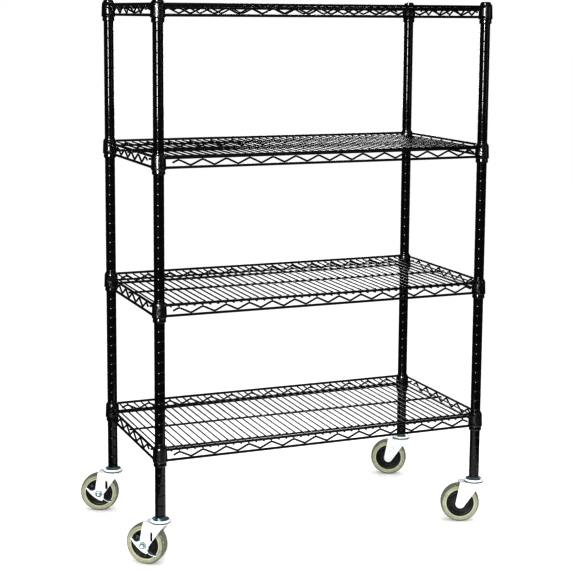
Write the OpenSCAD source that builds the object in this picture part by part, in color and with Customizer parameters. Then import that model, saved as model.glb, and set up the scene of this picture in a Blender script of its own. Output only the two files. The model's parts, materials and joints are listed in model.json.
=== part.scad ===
// Wire shelf cart: four grooved posts, four clamped wire shelves and four swivel casters.
// Millimetres. The origin is on the floor, midway between the four posts. +X is to the
// right along the shelves, +Y is to the back and +Z is up.

/* [Frame] */
// Distance between post centres along the shelves
span_x = 871; // [711:20:1511]
// Distance between post centres from front to back
span_y = 428; // [368:20:548]
// Height from one shelf to the next, in whole grooves
shelf_gap = 355.6; // [254:25.4:355.6]
// Height of the lowest shelf's sleeves above the lower end of the posts
first_shelf = 128.2; // [77.4:25.4:128.2]

/* [Posts] */
// Length of a post
post_length = 1247; // [1247:1:1900]
// Outside diameter of a post
post_d = 25.4; // [25:0.1:26]
// Wall of a post
post_wall = 1.4; // [1.2:0.1:1.6]
// Distance between the grooves that set the shelf heights
groove_pitch = 25.4; // [25.4:0.1:25.4]
// Depth of a groove
groove_depth = 0.8; // [0.4:0.1:0.9]

/* [Shelves] */
// Diameter of the rods along the rims
rod_d = 6; // [5:0.1:6.5]
// Diameter of the bent wire inside the rims
snake_d = 4; // [3:0.1:4.5]
// Diameter of the wires that carry the load
cross_d = 3.2; // [2.5:0.1:4]
// Diameter of the wires under them
stringer_d = 5; // [4:0.1:6]
// Distance between the load wires
cross_pitch = 20; // [18:0.5:25]

/* [Casters] */
// Diameter of a wheel
wheel_d = 101.6; // [96:0.1:101.6]
// Width of a wheel's tread
tread_w = 32; // [28:0.5:32]
// Diameter of the hub inside the tread
hub_d = 72; // [66:0.5:76]
// Distance from the swivel axis back to the axle
trail = 36; // [30:0.5:38]
// How far the front left caster is turned about its post
turn_fl = -42; // [-180:1:180]
// How far the front right caster is turned about its post
turn_fr = -24; // [-180:1:180]
// How far the back left caster is turned about its post
turn_bl = -24; // [-180:1:180]
// How far the back right caster is turned about its post
turn_br = -28; // [-180:1:180]
// Diameter of the axle bolt
axle_d = 8; // [6:0.1:8]

/* [Hidden] */

$fn = 64;
eps = 0.01;

// How far one wire sinks into the next where they are welded
weld = 0.2;
weld_collar = 0.8;

// Corners: name, side along X, side along Y, whether its caster has a brake, and its turn
CORNERS = [
    ["fl", -1, -1, true, turn_fl],
    ["fr", 1, -1, false, turn_fr],
    ["bl", -1, 1, true, turn_bl],
    ["br", 1, 1, false, turn_br]
];

// Posts
post_bottom = 120;
post_top = post_bottom + post_length;
post_r = post_d / 2;
post_bore_r = post_r - post_wall;
first_groove = 7.1;
groove_half = 1.4;
groove_count = floor((post_length - first_groove - 2 * groove_half) / groove_pitch) + 1;

// Corner collars and sleeves, as heights above the sleeve's lower end
sleeve_h = 51;
sleeve_top_r = post_r + 0.9;
sleeve_low_r = post_r + 2.3;
lip_r = post_r + 3.3;
lip_h = 10.9;
bead_z = 31.3;
sleeve_split = 2;
collar_low = 11;
collar_high = 49;
collar_low_r = 18.3;
collar_top_r = 17;
collar_round = 1.5;
shoulder_h = 5;

// Rims
rim_offset = 13;
rim_x = span_x / 2 + rim_offset;
rim_y = span_y / 2 + rim_offset;
top_rod_z = 43;
low_rod_z = 17;
wave_steps = 12;

// Decks
cross_z = top_rod_z - rod_d / 2 - cross_d / 2 + weld;
stringer_z = cross_z - cross_d / 2 - stringer_d / 2 + weld;
cross_end = rim_y + 1;
cross_half_count = floor((span_x / 2 - cross_d) / cross_pitch + 0.5);
stringer_y = 181 * span_y / 428;

// Bent wires: each wave spans three load wires, whose ends its peaks are welded to at the front
// and back, while at the left and right the peaks reach the top rods
wave_pitch = 3 * cross_pitch;
valley_z = low_rod_z + (rod_d + snake_d) / 2 - weld;
long_peak_z = cross_z - (cross_d + snake_d) / 2 + weld;
short_peak_z = top_rod_z - (rod_d + snake_d) / 2 + weld;

// Casters, with the axle's line through [-trail, *, wheel_r] before the caster is turned
wheel_r = wheel_d / 2;
sheet_t = 2.5;
leg_in = 18.5;
leg_out = leg_in + sheet_t;
leg_end_r = 12.8;
leg_rear = 2;
crown_low = 105.5;
crown_high = crown_low + sheet_t;
crown_r = 25;
ball_r = 2.5;
ball_ring_r = 17;
ball_count = 18;
race_low = crown_high + 2 * ball_r + 0.1;
race_high = race_low + 3;
race_r = 26.5;
race_top_r = 23;
race_skirt_t = 1.5;
race_gap = 2.2;
stem_nut_r = 12.9;
pin_r = 5.5;
pin_gap = 0.08;
rivet_r = 9;
stem_r = post_bore_r - 0.1;
stem_top = post_bottom + 55;
axle_r = axle_d / 2;
axle_gap = 0.06;
hub_r = hub_d / 2;
hub_half = leg_in - 0.3;
hub_face = 12.5;
head_across = 13;
head_h = 5.3;
nut_h = 6.5;

// Brake: a lever that turns on the axle bolt, outside the fork's leg
lever_gap = 0.3;
lever_t = 2.5;
lever_in = leg_out + lever_gap;
lever_out = lever_in + lever_t;
washer_t = 1.2;
pad_r = 4;
pad_at = [-18, 17];
pad_reach = 0.6;

BLACK = "#151517";
ZINC = "#d9dbdd";
TREAD = "#6f6e62";

// Places
function post_at(corner) = [corner[1] * span_x / 2, corner[2] * span_y / 2];
function shelf_z(level) = post_bottom + first_shelf + (level - 1) * shelf_gap;

module at_corner(corner, z = 0) {
    translate([post_at(corner)[0], post_at(corner)[1], z]) children();
}

module at_corners(z = 0) {
    for (corner = CORNERS) at_corner(corner, z) children();
}

module at_caster(corner) {
    at_corner(corner) rotate([0, 0, corner[4]]) children();
}

// Turns a shape drawn about +Z to lie along the axle, with +Z towards the caster's -Y side
module along_axle() {
    translate([-trail, 0, wheel_r]) rotate([90, 0, 0]) children();
}

// Posts: a tube with a groove at each shelf height
function groove_side(k) =
    let (z = first_groove + k * groove_pitch)
    [[post_r, z - groove_half], [post_r - groove_depth, z - groove_half / 2],
     [post_r - groove_depth, z + groove_half / 2], [post_r, z + groove_half]];

module post(corner) {
    side = [for (k = [0:groove_count - 1]) each groove_side(k)];
    color(BLACK) at_corner(corner, post_bottom)
        rotate_extrude()
            polygon(concat([[post_bore_r, 0], [post_r, 0]], side,
                           [[post_r, post_length], [post_bore_r, post_length]]));
}

module post_caps() {
    color(BLACK) at_corners(post_top)
        rotate_extrude()
            polygon([[0, -14], [post_bore_r - 0.4, -14], [post_bore_r, -11], [post_bore_r, 0],
                     [post_r, 0], [post_r, 1.2], [post_r - 0.8, 2.2], [post_r - 3, 2.9], [0, 3.2]]);
}

// Shelves: a steel collar at each corner wedges over a split plastic sleeve on the post
module collars(level) {
    color(BLACK) at_corners(shelf_z(level))
        rotate_extrude()
            polygon([[sleeve_r(collar_low), collar_low],
                     [collar_low_r - collar_round, collar_low],
                     [collar_low_r - collar_round * 0.3, collar_low + collar_round * 0.3],
                     [collar_low_r, collar_low + collar_round],
                     [collar_top_r, collar_high - shoulder_h],
                     [collar_top_r - collar_round * 0.5, collar_high - shoulder_h * 0.6],
                     [collar_top_r - collar_round, collar_high - shoulder_h * 0.25],
                     [sleeve_r(collar_high) + 0.9, collar_high],
                     [sleeve_r(collar_high), collar_high]]);
}

// Outside radius of the collar at a height above the sleeve's lower end
function collar_r(z) =
    collar_low_r + (collar_top_r - collar_low_r) * (z - collar_low - collar_round)
    / (collar_high - shoulder_h - collar_low - collar_round);

// Outside radius of the sleeve's wedge at a height above its lower end
function sleeve_r(z) =
    sleeve_low_r + (sleeve_top_r - sleeve_low_r) * (z - collar_low) / (sleeve_h - collar_low);

module sleeves(level) {
    color(BLACK) at_corners(shelf_z(level)) difference() {
        rotate_extrude()
            polygon([[post_r, 0], [lip_r - 0.8, 0], [lip_r, 0.8], [lip_r, lip_h],
                     [sleeve_r(lip_h), lip_h], [sleeve_top_r, sleeve_h], [post_r, sleeve_h],
                     [post_r, bead_z + groove_half],
                     [post_r - groove_depth, bead_z + groove_half / 2],
                     [post_r - groove_depth, bead_z - groove_half / 2],
                     [post_r, bead_z - groove_half]]);
        rotate([0, 0, 45])
            translate([-2 * lip_r, -sleeve_split / 2, -1])
                cube([4 * lip_r, sleeve_split, sleeve_h + 2]);
    }
}

// A rod from one collar to the next, along X or along Y, that ends on the collars' outsides
module rim_rod(along_x, side, z) {
    length = along_x ? span_x : span_y;
    difference() {
        if (along_x)
            translate([-length / 2, side * rim_y, z]) rotate([0, 90, 0])
                cylinder(d = rod_d, h = length);
        else
            translate([side * rim_x, -length / 2, z]) rotate([-90, 0, 0])
                cylinder(d = rod_d, h = length);
        for (end = [-1, 1])
            translate([(along_x ? end : side) * span_x / 2, (along_x ? side : end) * span_y / 2, z - rod_d])
                cylinder(r = collar_r(z) - weld_collar, h = 2 * rod_d);
    }
}

module rim_rods(level) {
    color(BLACK) translate([0, 0, shelf_z(level)])
        for (along_x = [true, false], side = [-1, 1], z = [low_rod_z, top_rod_z])
            rim_rod(along_x, side, z);
}

// The bent wire inside a rim: rounded waves with a half wave's stub at each end
function wave(turn) = asin(0.97 * sin(turn)) / asin(0.97);
function wave_point(s, first, peak_z) =
    [s, (peak_z + valley_z) / 2
        + (peak_z - valley_z) / 2 * wave(360 * (s - first) / wave_pitch + 90)];
function wave_normal(s, first, peak_z) =
    let (step = wave_point(s + 0.1, first, peak_z) - wave_point(s - 0.1, first, peak_z))
    [-step[1], step[0]] / norm(step);

module snake(length, peak_z) {
    peaks = 2 * round((length - wave_pitch) / wave_pitch / 2);
    first = -(peaks - 1) * wave_pitch / 2;
    low = first - wave_pitch / 4;
    steps = (peaks - 1) * wave_steps + wave_steps / 2;
    places = [for (i = [0:steps]) low + i * wave_pitch / wave_steps];
    over = [for (s = places)
        wave_point(s, first, peak_z) + wave_normal(s, first, peak_z) * snake_d / 2];
    under = [for (s = places)
        wave_point(s, first, peak_z) - wave_normal(s, first, peak_z) * snake_d / 2];
    rotate([90, 0, 0])
        linear_extrude(height = snake_d, center = true)
            polygon(concat(over, [for (i = [steps:-1:0]) under[i]]));
}

module snake_wires(level) {
    color(BLACK) translate([0, 0, shelf_z(level)]) {
        for (side = [-1, 1]) {
            translate([0, side * rim_y, 0]) snake(span_x, long_peak_z);
            translate([side * rim_x, 0, 0]) rotate([0, 0, 90]) snake(span_y, short_peak_z);
        }
    }
}

// The deck: load wires from front to back, on three stringers
// How far a load wire reaches: to the rims, or to the collars where it runs between them
function cross_reach(x) =
    let (off = span_x / 2 - abs(x))
    off > collar_low_r ? cross_end
    : span_y / 2 - sqrt(pow(collar_r(cross_z) - weld_collar, 2) - off * off);

module cross_wires(level) {
    color(BLACK) translate([0, 0, shelf_z(level) + cross_z])
        for (k = [-cross_half_count:cross_half_count - 1])
            let (x = (k + 0.5) * cross_pitch)
                translate([x, -cross_reach(x), 0]) rotate([-90, 0, 0])
                    cylinder(d = cross_d, h = 2 * cross_reach(x), $fn = 24);
}

module stringers(level) {
    color(BLACK) translate([0, 0, shelf_z(level) + stringer_z])
        for (y = [-stringer_y, 0, stringer_y])
            translate([-rim_x - 1, y, 0]) rotate([0, 90, 0])
                cylinder(d = stringer_d, h = 2 * rim_x + 2);
}

// Casters: a stem in the post with the upper race and the rivet that carries the fork
module caster_stem(corner) {
    color(ZINC) at_caster(corner)
        rotate_extrude()
            polygon([[0, crown_low - 4], [rivet_r - 2, crown_low - 4], [rivet_r, crown_low - 2],
                     [rivet_r, crown_low - 0.1], [pin_r, crown_low - 0.1], [pin_r, race_low],
                     [race_top_r - race_skirt_t, race_low],
                     [race_r - race_skirt_t, crown_high + race_gap], [race_r, crown_high + race_gap],
                     [race_top_r, race_high], [stem_r, race_high], [stem_r, stem_top - 3],
                     [stem_r - 3, stem_top], [0, stem_top]]);
    color(ZINC) at_caster(corner) difference() {
        translate([0, 0, race_high - eps])
            cylinder(r = stem_nut_r, h = post_bottom - race_high + eps, $fn = 6);
        translate([0, 0, race_high - 1]) cylinder(r = stem_r - 1, h = post_bottom);
    }
}

module caster_balls(corner) {
    color(ZINC) at_caster(corner)
        for (k = [0:ball_count - 1])
            rotate([0, 0, k * 360 / ball_count])
                translate([ball_ring_r, 0, crown_high + ball_r]) sphere(r = ball_r, $fn = 24);
}

// A fork's leg, as an outline about the axle: round below, straight in front and flared above
leg_top = crown_high - wheel_r;
leg_front_low = [10.2, -7.7];
leg_front_mid = [39, 34];
leg_front_top = [21 + trail, leg_top];

function curve(a, b, c, t) = (1 - t) * (1 - t) * a + 2 * t * (1 - t) * b + t * t * c;
function curve_points(a, b, c) = [for (t = [0:0.125:1]) curve(a, b, c, t)];

module leg_outline(slotted) {
    difference() {
        union() {
            circle(r = leg_end_r);
            polygon(concat([[-leg_end_r, 0], leg_front_low],
                           curve_points(leg_front_mid, [47, 46], leg_front_top),
                           [[-leg_rear, leg_top]]));
        }
        circle(r = axle_r + axle_gap);
        if (slotted) translate([19.8, 13]) square([3, 21]);
    }
}

module caster_fork(corner) {
    braked = corner[3];
    crown_rear = trail + leg_rear;
    color(ZINC) at_caster(corner) {
        for (side = [-1, 1])
            translate([-trail, side * (leg_in + sheet_t / 2), wheel_r]) rotate([90, 0, 0])
                linear_extrude(height = sheet_t, center = true) leg_outline(braked && side < 0);
        difference() {
            translate([0, 0, crown_low]) linear_extrude(height = sheet_t) union() {
                circle(r = crown_r);
                translate([-crown_rear, -leg_out]) square([crown_rear + 21, 2 * leg_out]);
            }
            translate([0, 0, crown_low - 1])
                cylinder(r = pin_r + pin_gap, h = sheet_t + 2);
        }
    }
}

module caster_axle(corner) {
    braked = corner[3];
    nut_in = braked ? lever_out + lever_gap + washer_t : leg_out;
    color(ZINC) at_caster(corner) along_axle() {
        translate([0, 0, -leg_out - head_h])
            cylinder(d = head_across / cos(30), h = head_h, $fn = 6);
        translate([0, 0, -leg_out - eps]) cylinder(r = axle_r, h = leg_out + nut_in + nut_h + 1);
        translate([0, 0, nut_in]) cylinder(d = head_across / cos(30), h = nut_h, $fn = 6);
    }
}

module caster_hub(corner) {
    color(BLACK) at_caster(corner) along_axle()
        rotate_extrude()
            polygon([[axle_r + axle_gap, -hub_half], [10, -hub_half], [11, -hub_face + 1],
                     [15, -hub_face], [hub_r - 9, -hub_face], [hub_r - 8, -hub_face - 1.5],
                     [hub_r - 6, -hub_face - 1.5], [hub_r - 5, -hub_face], [hub_r, -hub_face],
                     [hub_r, hub_face], [hub_r - 5, hub_face], [hub_r - 6, hub_face + 1.5],
                     [hub_r - 8, hub_face + 1.5], [hub_r - 9, hub_face], [15, hub_face],
                     [11, hub_face - 1], [10, hub_half], [axle_r + axle_gap, hub_half]]);
}

module caster_tread(corner) {
    half = tread_w / 2;
    color(TREAD) at_caster(corner) along_axle()
        rotate_extrude()
            polygon([[hub_r, -hub_face], [hub_r + 1, -half + 1], [hub_r + 3, -half],
                     [wheel_r - 5, -half], [wheel_r - 1.5, -half + 3.5], [wheel_r, -half + 7],
                     [wheel_r, half - 7], [wheel_r - 1.5, half - 3.5], [wheel_r - 5, half],
                     [hub_r + 3, half], [hub_r + 1, half - 1], [hub_r, hub_face]]);
}

// Brakes: a crescent lever with a foot lip, a pad on its back and a spring washer
lever_tip = [-34, 15];
lever_low = [6.4, -20.5];
lever_notch = [13, -16.5];
lip_width = 12;

module lever_outline() {
    difference() {
        union() {
            circle(r = 11);
            polygon(concat(curve_points(lever_tip, [-18, -11.5], lever_low), [lever_notch],
                           curve_points([12, -6], [11, 4], [4, 10.5]),
                           curve_points([-3, 11], [-13, 11], [-30, 16.5])));
            translate(pad_at) circle(r = pad_r + 4);
        }
        circle(r = axle_r + axle_gap);
    }
}

module brake_lever(corner) {
    color(ZINC) at_caster(corner) along_axle() {
        translate([0, 0, lever_in]) linear_extrude(height = lever_t) lever_outline();
        translate([0, 0, lever_in + eps]) linear_extrude(height = lip_width)
            polygon(concat(curve_points([11.6, -4.5], [15, -18], [37.5, -17.8]),
                           curve_points([37.5, -20.2], [13, -20.5], [9.4, -7])));
    }
}

module brake_pad(corner) {
    color(BLACK) at_caster(corner) along_axle()
        translate([pad_at[0], pad_at[1], hub_face + 1.5 + pad_reach])
            cylinder(r = pad_r, h = lever_in - hub_face - 1.5 - pad_reach);
}

module brake_washer(corner) {
    color(ZINC) at_caster(corner) along_axle()
        translate([0, 0, lever_out + lever_gap]) difference() {
            cylinder(r = 9, h = washer_t);
            translate([0, 0, -1]) cylinder(r = axle_r, h = washer_t + 2);
        }
}

function corner_of(name) = [for (corner = CORNERS) if (corner[0] == name) corner][0];

for (corner = CORNERS) {
    post(corner);
    caster_stem(corner);
    caster_balls(corner);
    caster_fork(corner);
    caster_axle(corner);
    caster_hub(corner);
    caster_tread(corner);
}
for (name = ["fl", "bl"]) {
    brake_lever(corner_of(name));
    brake_pad(corner_of(name));
    brake_washer(corner_of(name));
}
for (level = [1:4]) {
    collars(level);
    rim_rods(level);
    snake_wires(level);
    cross_wires(level);
    stringers(level);
    sleeves(level);
}
post_caps();
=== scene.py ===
"""Looks of a wire shelf cart on swivel casters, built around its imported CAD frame.

Lengths are in metres. The origin is on the floor, midway between the four posts. +X runs to
the right along the shelves, +Y to the back and +Z up.
"""

import json
import math

import bmesh
import bpy
from mathutils import Matrix, Vector


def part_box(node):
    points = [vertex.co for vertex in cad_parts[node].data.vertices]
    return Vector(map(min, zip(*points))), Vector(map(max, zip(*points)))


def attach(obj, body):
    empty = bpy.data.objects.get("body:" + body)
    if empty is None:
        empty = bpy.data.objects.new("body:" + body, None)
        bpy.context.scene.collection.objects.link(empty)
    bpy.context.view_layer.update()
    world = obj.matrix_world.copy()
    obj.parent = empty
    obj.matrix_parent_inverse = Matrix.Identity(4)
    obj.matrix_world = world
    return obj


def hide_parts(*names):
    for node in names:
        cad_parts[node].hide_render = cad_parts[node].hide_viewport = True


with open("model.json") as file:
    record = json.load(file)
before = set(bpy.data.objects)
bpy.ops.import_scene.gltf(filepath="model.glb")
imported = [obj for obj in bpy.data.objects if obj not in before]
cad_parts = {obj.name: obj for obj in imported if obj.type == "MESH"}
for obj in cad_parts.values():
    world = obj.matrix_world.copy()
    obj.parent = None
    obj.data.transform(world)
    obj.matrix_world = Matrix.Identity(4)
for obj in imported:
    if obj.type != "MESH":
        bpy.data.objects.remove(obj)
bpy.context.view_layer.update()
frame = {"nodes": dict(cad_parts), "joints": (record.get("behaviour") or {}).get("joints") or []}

MM = 0.001
CORNERS = ("fl", "fr", "bl", "br")
SIDES = {"fl": (-1, -1), "fr": (1, -1), "bl": (-1, 1), "br": (1, 1)}
BRAKED = ("fl", "bl")
LEVELS = (1, 2, 3, 4)

# Posts
POST_R = 12.7 * MM
POST_BORE_R = 11.3 * MM
GROOVE_PITCH = 25.4 * MM
FIRST_GROOVE = 7.1 * MM
LAST_GROOVE_GAP = 4 * MM

# Shelves; heights are above the sleeves' lower ends, and wires sink into each other by WELD
ROD_R = 3.0 * MM
SNAKE_R = 2.2 * MM
CROSS_R = 1.7 * MM
STRINGER_R = 2.5 * MM
TOP_ROD_Z = 43 * MM
LOW_ROD_Z = 17 * MM
SLEEVE_H = 51 * MM
SLEEVE_LOW_R = POST_R + 2.3 * MM
SLEEVE_TOP_R = POST_R + 0.9 * MM
COLLAR_LOW = 11 * MM
COLLAR_HIGH = 49 * MM
COLLAR_LOW_R = 18.3 * MM
COLLAR_TOP_R = 17.0 * MM
RIM_OFFSET = 13 * MM
ROD_END_GAP = 9.5 * MM
CROSS_PITCH = 20 * MM
STRINGER_Y = 181 * MM
WAVE_PITCH = 3 * CROSS_PITCH
LONG_PEAKS = 14
SHORT_PEAKS = 6
WIRE_OVERHANG = 1 * MM
WELD = 0.2 * MM
CROSS_Z = TOP_ROD_Z - ROD_R - CROSS_R + WELD
STRINGER_Z = CROSS_Z - CROSS_R - STRINGER_R + WELD
VALLEY_Z = LOW_ROD_Z + ROD_R + SNAKE_R - WELD
LONG_PEAK_Z = CROSS_Z - CROSS_R - SNAKE_R + WELD
SHORT_PEAK_Z = TOP_ROD_Z - ROD_R - SNAKE_R + WELD

# Casters
WHEEL_R = 50.8 * MM
TRAIL = 36 * MM
SHEET = 2.5 * MM
LEG_MIDDLE = 19.75 * MM
LEG_OUT = LEG_MIDDLE + SHEET / 2
LEG_BEND = 4.5 * MM
LEG_END_R = 12.8 * MM
LEG_TOP = 57.2 * MM
FORK_REAR = -38 * MM
FORK_FRONT = 21 * MM
FORK_RACE_R = 24.9 * MM
AXLE_R = 4 * MM
CROWN_LOW = 105.5 * MM
CROWN_HIGH = 108 * MM
RACE_LOW = 113.1 * MM
RACE_HIGH = 116.1 * MM
POST_BOTTOM = 120 * MM
LEVER_IN = 21.3 * MM
LEVER_OUT = LEVER_IN + SHEET
CAM_PLACE = Matrix.Translation((-18 * MM, 17 * MM, 0))


def post_at(corner):
    """The middle of a post's box."""
    low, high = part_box(f"post_{corner}")
    return (low + high) / 2


def sleeve_bottom(level):
    """The lower end of a shelf's sleeves, from which its other heights are counted."""
    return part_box(f"shelf_{level}_sleeves")[0].z


def on_post(corner, z=0.0):
    """Moves a solid that was made about the Z axis onto a post's axis, raised by z."""
    middle = post_at(corner)
    return Matrix.Translation((middle.x, middle.y, z))


SPAN_X = post_at("fr").x - post_at("fl").x
SPAN_Y = post_at("bl").y - post_at("fl").y
RIM_X = SPAN_X / 2 + RIM_OFFSET
RIM_Y = SPAN_Y / 2 + RIM_OFFSET


# ---------------------------------------------------------------------------------------------
# Mesh making
# ---------------------------------------------------------------------------------------------
class Shape:
    """Vertices and faces that several solids of one piece are added to."""

    def __init__(self):
        self.verts = []
        self.faces = []
        self.slots = []

    def add(self, solid, place=None, slot=0):
        """Adds a solid's vertices and faces, moved by place, in one of the piece's materials."""
        verts, faces = solid
        start = len(self.verts)
        self.verts += [place @ Vector(v) if place else Vector(v) for v in verts]
        self.faces += [tuple(start + i for i in f) for f in faces]
        self.slots += [slot] * len(faces)
        return self


def fillet(points, radius, closed=True, steps=4):
    """The outline with each corner rounded; radius is one number or one for each point."""
    out = []
    count = len(points)
    for i, point in enumerate(points):
        here = Vector(point)
        r = radius[i] if isinstance(radius, (list, tuple)) else radius
        if r <= 0 or (not closed and i in (0, count - 1)):
            out.append(here)
            continue
        before = Vector(points[i - 1]) - here
        after = Vector(points[(i + 1) % count]) - here
        reach = min(r, before.length * 0.48, after.length * 0.48)
        start = here + before.normalized() * reach
        end = here + after.normalized() * reach
        for k in range(steps + 1):
            t = k / steps
            out.append(start * (1 - t) ** 2 + here * 2 * t * (1 - t) + end * t * t)
    return out


def lathe(profile, sides=64, start=0.0, sweep=2 * math.pi, closed=False):
    """A profile of (radius, height) turned about Z; a closed one's part turn has end faces."""
    whole = sweep > 2 * math.pi - 1e-6
    stops = sides if whole else sides + 1
    turns = [start + sweep * i / sides for i in range(stops)]
    verts = []
    faces = []
    rings = []
    for r, z in profile:
        if r < 1e-7:
            rings.append([len(verts)] * stops)
            verts.append((0.0, 0.0, z))
        else:
            rings.append(list(range(len(verts), len(verts) + stops)))
            verts += [(r * math.cos(a), r * math.sin(a), z) for a in turns]
    pairs = list(zip(rings, rings[1:]))
    if closed:
        pairs.append((rings[-1], rings[0]))
    for low, high in pairs:
        for i in range(sides):
            j = (i + 1) % stops
            face = []
            for v in (low[i], low[j], high[j], high[i]):
                if v not in face:
                    face.append(v)
            if len(face) > 2:
                faces.append(tuple(face))
    if closed and not whole:
        faces.append(tuple(ring[0] for ring in rings))
        faces.append(tuple(ring[-1] for ring in reversed(rings)))
    return verts, faces


def tube(path, radius, normal, sides=12, bevel=0.25):
    """A round wire along a path that lies in the plane square to normal, with cut ends."""
    points = [Vector(p) for p in path]
    normal = Vector(normal)
    ends = [(points[1] - points[0]).normalized(), (points[-1] - points[-2]).normalized()]
    spine = [(points[0], 1 - bevel), (points[0] + ends[0] * radius * bevel, 1)]
    spine += [(p, 1) for p in points[1:-1]]
    spine += [(points[-1] - ends[1] * radius * bevel, 1), (points[-1], 1 - bevel)]
    verts = []
    faces = []
    for i, (point, scale) in enumerate(spine):
        before = spine[max(i - 1, 0)][0]
        after = spine[min(i + 1, len(spine) - 1)][0]
        along = (after - before).normalized()
        across = along.cross(normal)
        for k in range(sides):
            a = 2 * math.pi * k / sides
            verts.append(point + (normal * math.cos(a) + across * math.sin(a)) * radius * scale)
    for i in range(len(spine) - 1):
        for k in range(sides):
            j = (k + 1) % sides
            faces.append((i * sides + k, i * sides + j, (i + 1) * sides + j, (i + 1) * sides + k))
    faces.append(tuple(reversed(range(sides))))
    faces.append(tuple(range((len(spine) - 1) * sides, len(spine) * sides)))
    return verts, faces


def inset(outline, amount):
    """A closed outline moved inwards, for outlines that run anticlockwise."""
    out = []
    count = len(outline)
    for i, point in enumerate(outline):
        before = (point - outline[i - 1]).normalized()
        after = (outline[(i + 1) % count] - point).normalized()
        inward = Vector((-before.y - after.y, before.x + after.x))
        if inward.length < 1e-9:
            inward = Vector((-before.y, before.x))
        inward.normalize()
        slant = max(0.35, inward.dot(Vector((-before.y, before.x))))
        out.append(point + inward * amount / slant)
    return out


def plate(outline, low, high, bevel):
    """An outline raised from low to high, with its edges bevelled in two steps."""
    outline = [Vector(p[:2]) for p in outline]
    half = bevel * 0.3
    levels = [(bevel, low), (half, low + half), (0, low + bevel), (0, high - bevel),
              (half, high - half), (bevel, high)]
    verts = []
    faces = []
    count = len(outline)
    for amount, z in levels:
        verts += [(p.x, p.y, z) for p in inset(outline, amount)]
    for i in range(len(levels) - 1):
        for k in range(count):
            j = (k + 1) % count
            faces.append((i * count + k, i * count + j, (i + 1) * count + j, (i + 1) * count + k))
    faces.append(tuple(reversed(range(count))))
    faces.append(tuple(range((len(levels) - 1) * count, len(levels) * count)))
    return verts, faces


STRIP_SIDES = 8
STRIP_HIGH_EDGE = (1, 2, 3)
STRIP_OUTER_FACE = 4


def strip(stations, thickness, bevel):
    """A bent strip of sheet. A station is its middle, the sheet's normal and its two ends.

    Each length of strip has STRIP_SIDES faces: its inner face, the three of its bevelled high
    edge, its outer face and the three of its low edge.
    """
    verts = []
    faces = []
    half = thickness / 2
    for middle, normal, low, high in stations:
        edge = min(bevel, (high - low) * 0.3)
        section = [(low + edge, -half), (high - edge, -half), (high, edge - half), (high, half - edge),
                   (high - edge, half), (low + edge, half), (low, half - edge), (low, edge - half)]
        for x, n in section:
            verts.append(Vector((x, middle[0], middle[1])) + Vector((0, normal[0], normal[1])) * n)
    size = STRIP_SIDES
    for i in range(len(stations) - 1):
        for k in range(size):
            j = (k + 1) % size
            faces.append((i * size + k, i * size + j, (i + 1) * size + j, (i + 1) * size + k))
    faces.append(tuple(reversed(range(size))))
    faces.append(tuple(range((len(stations) - 1) * size, len(stations) * size)))
    return verts, faces


def blob(size, sides=10, rings=5):
    """A low rounded bead, such as a weld, with its reach along X, Y and Z."""
    profile = [(0.0, -size[2])]
    for i in range(1, rings):
        a = -math.pi / 2 + math.pi * i / rings
        profile.append((size[0] * math.cos(a), size[2] * math.sin(a)))
    profile.append((0.0, size[2]))
    verts, faces = lathe(profile, sides)
    return [(x, y * size[1] / size[0], z) for x, y, z in verts], faces


def hexagon(across_flats, start=0.0):
    """A hexagon's six corners, the first of them at the angle start."""
    radius = across_flats / 2 / math.cos(math.pi / 6)
    turns = [start + math.pi / 3 * i for i in range(6)]
    return [Vector((radius * math.cos(a), radius * math.sin(a))) for a in turns]


def curve(a, b, c, steps):
    """Points on a smooth bend that leaves a towards b and reaches c from b."""
    a, b, c = Vector(a), Vector(b), Vector(c)
    parts = [i / steps for i in range(steps + 1)]
    return [a * (1 - t) ** 2 + b * 2 * t * (1 - t) + c * t * t for t in parts]


def face_outwards(mesh, weld=0.0):
    """Turns every face outwards, once vertices closer than weld have been joined."""
    bm = bmesh.new()
    bm.from_mesh(mesh)
    if weld:
        bmesh.ops.remove_doubles(bm, verts=bm.verts, dist=weld)
    bmesh.ops.recalc_face_normals(bm, faces=bm.faces)
    bm.to_mesh(mesh)
    bm.free()


def mesh_object(name, verts, faces):
    """An object with a plain mesh, in the scene."""
    mesh = bpy.data.meshes.new(name)
    mesh.from_pydata([tuple(v) for v in verts], [], faces)
    obj = bpy.data.objects.new(name, mesh)
    bpy.context.scene.collection.objects.link(obj)
    return obj


def make_piece(name, shape, materials, body, replaces, sharp=40):
    """Turns a shape into a piece that rides on a body and takes its finish from a slot."""
    obj = mesh_object(name, shape.verts, shape.faces)
    mesh = obj.data
    for i, slot_index in enumerate(shape.slots):
        mesh.polygons[i].material_index = slot_index
    face_outwards(mesh)
    mesh.shade_smooth()
    mesh.set_sharp_from_angle(angle=math.radians(sharp))
    for material in materials:
        mesh.materials.append(material)
    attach(obj, body)
    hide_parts(*replaces)
    return obj


def cut(obj, solid, place):
    """Takes a solid away from a piece."""
    verts, faces = solid
    cutter = mesh_object("cutter", [place @ Vector(v) for v in verts], faces)
    face_outwards(cutter.data)
    boolean = obj.modifiers.new("slot", "BOOLEAN")
    boolean.operation = "DIFFERENCE"
    boolean.solver = "EXACT"
    boolean.use_self = True
    boolean.object = cutter
    done = bpy.data.meshes.new_from_object(obj.evaluated_get(bpy.context.evaluated_depsgraph_get()))
    obj.modifiers.clear()
    obj.data = done
    bpy.data.objects.remove(cutter)


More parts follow.
